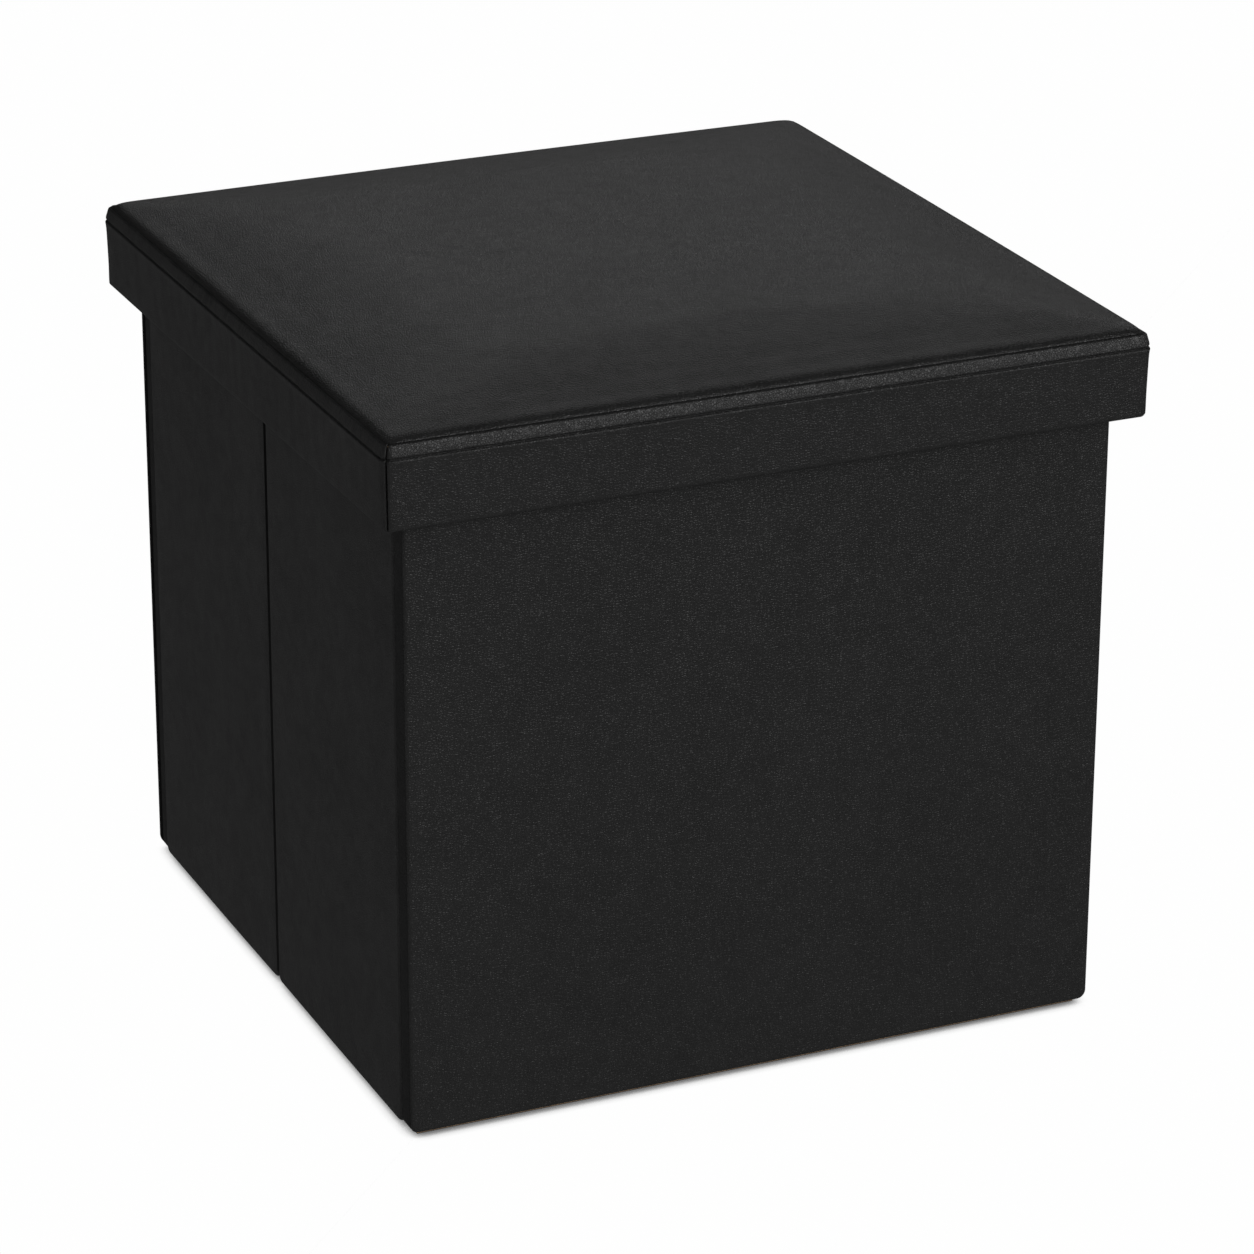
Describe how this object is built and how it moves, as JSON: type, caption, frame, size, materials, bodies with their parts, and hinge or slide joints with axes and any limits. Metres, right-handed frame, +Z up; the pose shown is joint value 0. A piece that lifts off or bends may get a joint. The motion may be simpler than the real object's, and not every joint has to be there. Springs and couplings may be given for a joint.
{
  "type": "folding storage ottoman",
  "caption": "Cube storage ottoman with a padded lift-off lid and rigid panels that fold flat at the middle of each side.",
  "frame": {"origin": "on the floor, under the middle of the box", "axes": "+Z up, -Y towards the front panel, +X to the right seen from the front"},
  "size_m": [0.384, 0.384, 0.3665],
  "materials": {
    "faux_leather": "fine pebble grain, satin",
    "fibreboard": "raw fibreboard, matt",
    "lining_cloth": "bonded non-woven cloth, matt",
    "foam": "open-cell upholstery foam",
    "staple_wire": "zinc-plated wire"
  },
  "bodies": {
    "back_wall": {"back_board": "fibreboard", "back_cover": "faux_leather", "back_liner": "lining_cloth", "base_board": "fibreboard", "base_cloth": "lining_cloth", "floor_liner": "lining_cloth"},
    "front_wall": {"front_board": "fibreboard", "front_cover": "faux_leather", "front_liner": "lining_cloth"},
    "left_rear_panel": {"left_rear_board": "fibreboard", "left_rear_cover": "faux_leather", "left_rear_liner": "lining_cloth"},
    "left_front_panel": {"left_front_board": "fibreboard", "left_front_cover": "faux_leather", "left_front_liner": "lining_cloth"},
    "right_rear_panel": {"right_rear_board": "fibreboard", "right_rear_cover": "faux_leather", "right_rear_liner": "lining_cloth"},
    "right_front_panel": {"right_front_board": "fibreboard", "right_front_cover": "faux_leather", "right_front_liner": "lining_cloth"},
    "lid": {"lid_band_back": "faux_leather", "lid_band_front": "faux_leather", "lid_band_left": "faux_leather", "lid_band_right": "faux_leather", "lid_board": "fibreboard", "lid_foam": "foam", "lid_liner": "lining_cloth", "lid_rim_back": "fibreboard", "lid_rim_front": "fibreboard", "lid_rim_left": "fibreboard", "lid_rim_right": "fibreboard", "lid_staples": "staple_wire", "lid_top_panel": "faux_leather"}
  },
  "joints": [
    {"name": "left_rear_fold", "type": "hinge", "parent": "back_wall", "child": "left_rear_panel", "pos_m": [-0.172, 0.1662, 0.17], "axis": [0, 0, 1], "range_deg": [0, 88]},
    {"name": "left_middle_fold", "type": "hinge", "parent": "left_rear_panel", "child": "left_front_panel", "pos_m": [-0.1788, 0, 0.17], "axis": [0, 0, 1], "range_deg": [-176, 0]},
    {"name": "left_front_fold", "type": "hinge", "parent": "left_front_panel", "child": "front_wall", "pos_m": [-0.172, -0.1662, 0.17], "axis": [0, 0, 1], "range_deg": [0, 88]},
    {"name": "right_rear_fold", "type": "hinge", "parent": "back_wall", "child": "right_rear_panel", "pos_m": [0.172, 0.1662, 0.17], "axis": [0, 0, 1], "range_deg": [-88, 0]},
    {"name": "right_middle_fold", "type": "hinge", "parent": "right_rear_panel", "child": "right_front_panel", "pos_m": [0.1788, 0, 0.17], "axis": [0, 0, 1], "range_deg": [0, 176]},
    {"name": "lid_lift", "type": "slide", "parent": "back_wall", "child": "lid", "axis": [0, 0, 1], "range_m": [0, 0.2]}
  ],
  "couplings": [
    {"joint": "left_middle_fold", "follows": "left_rear_fold", "ratio": -2},
    {"joint": "left_front_fold", "follows": "left_rear_fold", "ratio": 1},
    {"joint": "right_rear_fold", "follows": "left_rear_fold", "ratio": -1},
    {"joint": "right_middle_fold", "follows": "left_rear_fold", "ratio": 2}
  ]
}
